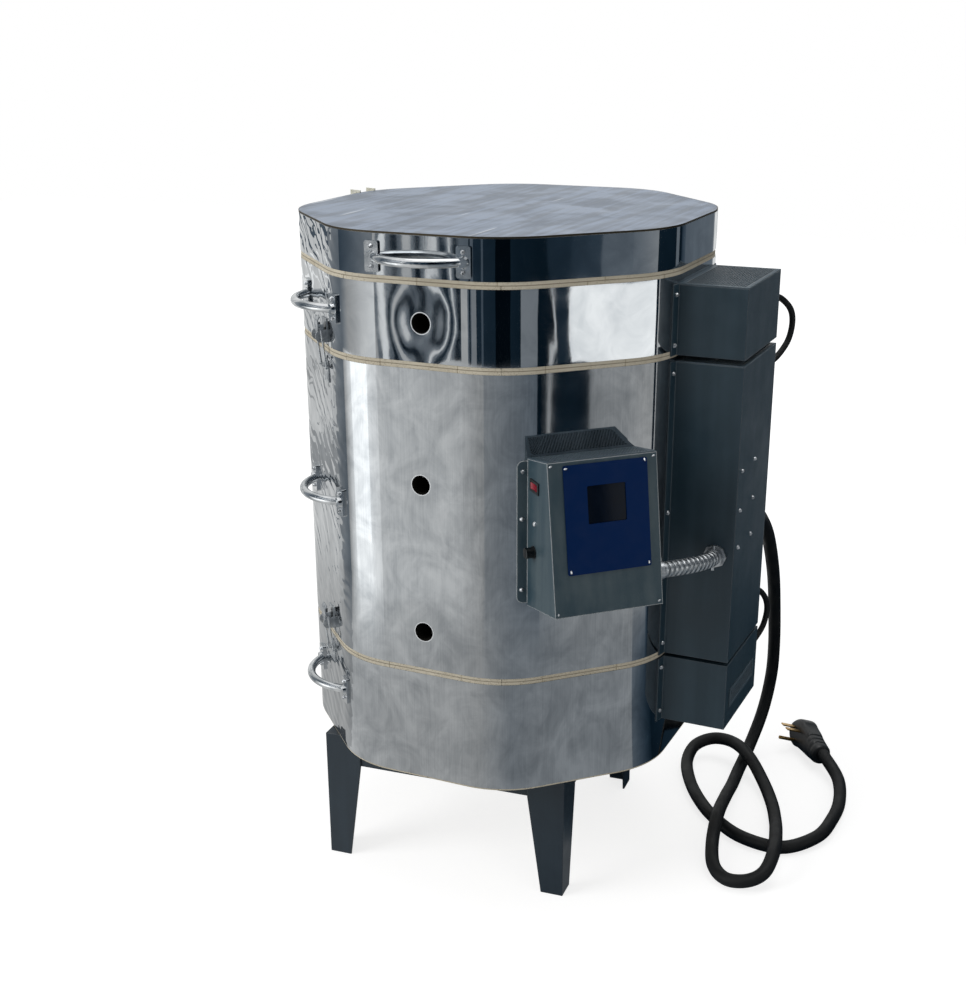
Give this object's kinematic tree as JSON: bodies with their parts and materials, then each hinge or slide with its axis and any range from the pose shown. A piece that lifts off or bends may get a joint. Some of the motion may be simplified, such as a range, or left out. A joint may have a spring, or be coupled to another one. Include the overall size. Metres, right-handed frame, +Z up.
{
  "type": "electric kiln",
  "caption": "Top-loading electric kiln: firebrick sections in polished octagonal steel jackets with a hinged lid, side handles, latches, wiring boxes, control box, stand and power cord.",
  "frame": {"origin": "on the floor under the vertical axis of the chamber", "axes": "+Z up, -Y towards the face with the lid's handle and the peepholes, +X towards the wiring boxes"},
  "size_m": [0.853, 0.8259, 1.0338],
  "materials": {
    "firebrick": "porous firebrick",
    "stainless_jacket": "polished stainless sheet",
    "lid_sheet": "satin sheet",
    "element_wire": "oxidised resistance wire",
    "ceramic_tube": "glazed ceramic",
    "painted_stand": "satin dark paint",
    "chrome": "bright chrome",
    "zinc_steel": "zinc plated",
    "screw_steel": "bright screws",
    "slate_powder_coat": "satin powder coat",
    "grey_powder_coat": "satin powder coat",
    "porcelain": "glazed porcelain",
    "relay_plastic": "moulded plastic",
    "black_plastic": "moulded plastic",
    "black_rubber": "semi-gloss rubber jacket",
    "brass": "plain brass",
    "navy_panel": "satin overlay",
    "dark_display": "dark glass over a circuit board",
    "transformer_iron": "varnished laminations",
    "red_plastic": "moulded red plastic"
  },
  "bodies": {
    "kiln": {"floor_slab": "firebrick", "bottom_brick_ring": "firebrick", "main_brick_wall": "firebrick", "top_brick_ring": "firebrick", "bottom_jacket": "stainless_jacket", "main_jacket": "stainless_jacket", "top_jacket": "stainless_jacket", "heating_elements": "element_wire", "thermocouple": "ceramic_tube", "stand_frame": "painted_stand", "leg_front_left": "painted_stand", "leg_front_right": "painted_stand", "leg_rear_right": "painted_stand", "leg_rear_left": "painted_stand", "top_handle_left": "chrome", "main_handle_left": "chrome", "bottom_handle_left": "chrome", "top_handle_right": "chrome", "main_handle_right": "chrome", "bottom_handle_right": "chrome", "case_screws": "screw_steel", "latch_plates": "zinc_steel", "hinge_body_leaf": "zinc_steel", "hinge_pin": "zinc_steel", "upper_wiring_box": "slate_powder_coat", "main_wiring_box": "slate_powder_coat", "lower_wiring_box": "slate_powder_coat", "box_vent_panels": "slate_powder_coat", "terminal_blocks": "porcelain", "relays": "relay_plastic", "cord_glands": "black_plastic", "jumper_cords": "black_rubber", "power_cord": "black_rubber", "plug_body": "black_rubber", "plug_blades": "brass", "control_box": "grey_powder_coat", "control_vent_panel": "slate_powder_coat", "control_panel": "navy_panel", "controller_board": "dark_display", "transformer": "transformer_iron", "switch_and_fuse_bodies": "black_plastic", "conduit": "zinc_steel", "conduit_connectors": "zinc_steel"},
    "lid": {"lid_slab": "firebrick", "lid_band": "stainless_jacket", "lid_cover": "lid_sheet", "lid_clamp": "zinc_steel", "lid_handle": "chrome", "lid_screws": "screw_steel", "hinge_lid_leaf": "zinc_steel"},
    "upper_left_lever": {"upper_left_latch_lever": "zinc_steel"},
    "upper_left_bail": {"upper_left_latch_bail": "zinc_steel"},
    "lower_left_lever": {"lower_left_latch_lever": "zinc_steel"},
    "lower_left_bail": {"lower_left_latch_bail": "zinc_steel"},
    "upper_right_lever": {"upper_right_latch_lever": "zinc_steel"},
    "upper_right_bail": {"upper_right_latch_bail": "zinc_steel"},
    "lower_right_lever": {"lower_right_latch_lever": "zinc_steel"},
    "lower_right_bail": {"lower_right_latch_bail": "zinc_steel"},
    "rocker": {"power_rocker": "red_plastic"},
    "fuse_cap": {"fuse_cap": "black_plastic"}
  },
  "joints": [
    {"name": "lid_turn", "type": "hinge", "parent": "kiln", "child": "lid", "pos_m": [0, 0.30845, 0.9673], "axis": [-1, 0, 0], "range_deg": [0, 100]},
    {"name": "upper_left_lever_turn", "type": "hinge", "parent": "kiln", "child": "upper_left_lever", "pos_m": [-0.18205, -0.25276, 0.872], "axis": [0.7071, -0.7071, 0], "range_deg": [0, 100]},
    {"name": "upper_left_bail_turn", "type": "hinge", "parent": "upper_left_lever", "child": "upper_left_bail", "pos_m": [-0.1831, -0.25382, 0.883], "axis": [0.7071, -0.7071, 0], "range_deg": [-100, 0]},
    {"name": "lower_left_lever_turn", "type": "hinge", "parent": "kiln", "child": "lower_left_lever", "pos_m": [-0.2075, -0.2273, 0.4148], "axis": [0.7071, -0.7071, 0], "range_deg": [0, 100]},
    {"name": "lower_left_bail_turn", "type": "hinge", "parent": "lower_left_lever", "child": "lower_left_bail", "pos_m": [-0.20856, -0.22836, 0.4258], "axis": [0.7071, -0.7071, 0], "range_deg": [-100, 0]},
    {"name": "upper_right_lever_turn", "type": "hinge", "parent": "kiln", "child": "upper_right_lever", "pos_m": [0.18205, 0.25276, 0.872], "axis": [-0.7071, 0.7071, 0], "range_deg": [0, 100]},
    {"name": "upper_right_bail_turn", "type": "hinge", "parent": "upper_right_lever", "child": "upper_right_bail", "pos_m": [0.1831, 0.25382, 0.883], "axis": [-0.7071, 0.7071, 0], "range_deg": [-100, 0]},
    {"name": "lower_right_lever_turn", "type": "hinge", "parent": "kiln", "child": "lower_right_lever", "pos_m": [0.2075, 0.2273, 0.4148], "axis": [-0.7071, 0.7071, 0], "range_deg": [0, 100]},
    {"name": "lower_right_bail_turn", "type": "hinge", "parent": "lower_right_lever", "child": "lower_right_bail", "pos_m": [0.20856, 0.22836, 0.4258], "axis": [-0.7071, 0.7071, 0], "range_deg": [-100, 0]},
    {"name": "rocker_turn", "type": "hinge", "parent": "kiln", "child": "rocker", "pos_m": [0.17225, -0.2873, 0.699], "axis": [0, 0, 1], "range_deg": [-12, 12]},
    {"name": "fuse_cap_turn", "type": "hinge", "parent": "kiln", "child": "fuse_cap", "pos_m": [0.1627, -0.29331, 0.6035], "axis": [-0.7071, -0.7071, 0], "range_deg": [0, 90]}
  ],
  "couplings": [
    {"joint": "upper_left_bail_turn", "follows": "upper_left_lever_turn", "ratio": -1},
    {"joint": "lower_left_bail_turn", "follows": "lower_left_lever_turn", "ratio": -1},
    {"joint": "upper_right_bail_turn", "follows": "upper_right_lever_turn", "ratio": -1},
    {"joint": "lower_right_bail_turn", "follows": "lower_right_lever_turn", "ratio": -1}
  ]
}
